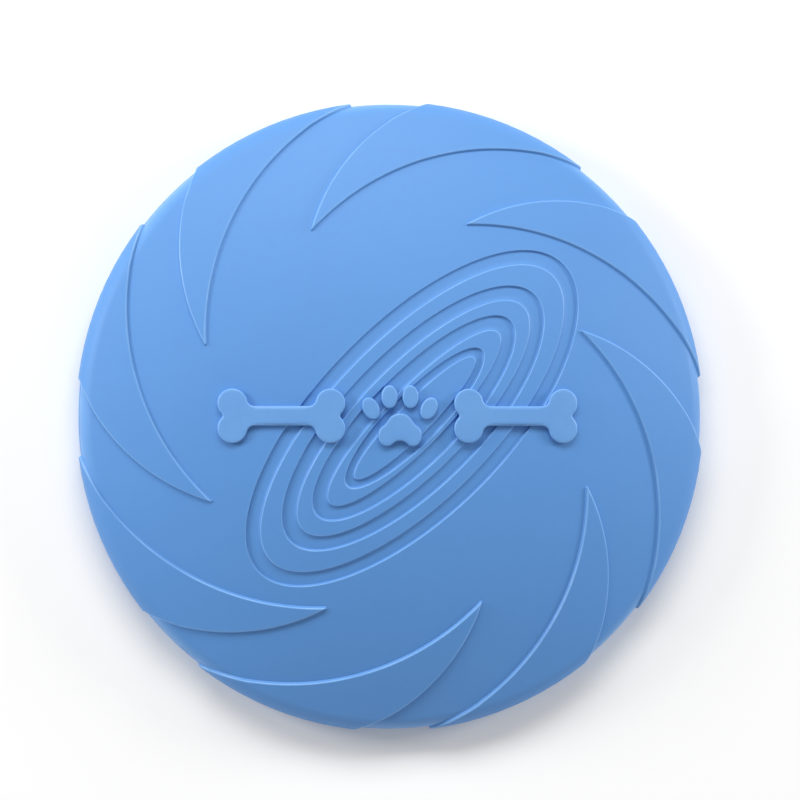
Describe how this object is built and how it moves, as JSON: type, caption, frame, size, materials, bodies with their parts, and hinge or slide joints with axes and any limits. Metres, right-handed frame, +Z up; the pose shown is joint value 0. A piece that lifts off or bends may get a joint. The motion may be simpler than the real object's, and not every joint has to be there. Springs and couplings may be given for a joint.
{
  "type": "flying disc",
  "caption": "Soft domed throwing disc with a rolled rim, raised swept vanes, nested oval grooves and a raised paw and bone emblem on its crown.",
  "frame": {"origin": "on the floor, under the middle of the dome", "axes": "+Z up along the dome's axis; +X to the right and +Y away along the emblem, as the emblem is read from above"},
  "size_m": [0.1794, 0.1794, 0.03],
  "materials": {
    "rubber": "satin moulded rubber"
  },
  "bodies": {
    "root": {"disc_body": "rubber", "vane_1": "rubber", "vane_2": "rubber", "vane_3": "rubber", "vane_4": "rubber", "vane_5": "rubber", "vane_6": "rubber", "vane_7": "rubber", "vane_8": "rubber", "paw_pad": "rubber", "paw_toe_1": "rubber", "paw_toe_2": "rubber", "paw_toe_3": "rubber", "paw_toe_4": "rubber", "bone_left": "rubber", "bone_right": "rubber"}
  },
  "joints": []
}
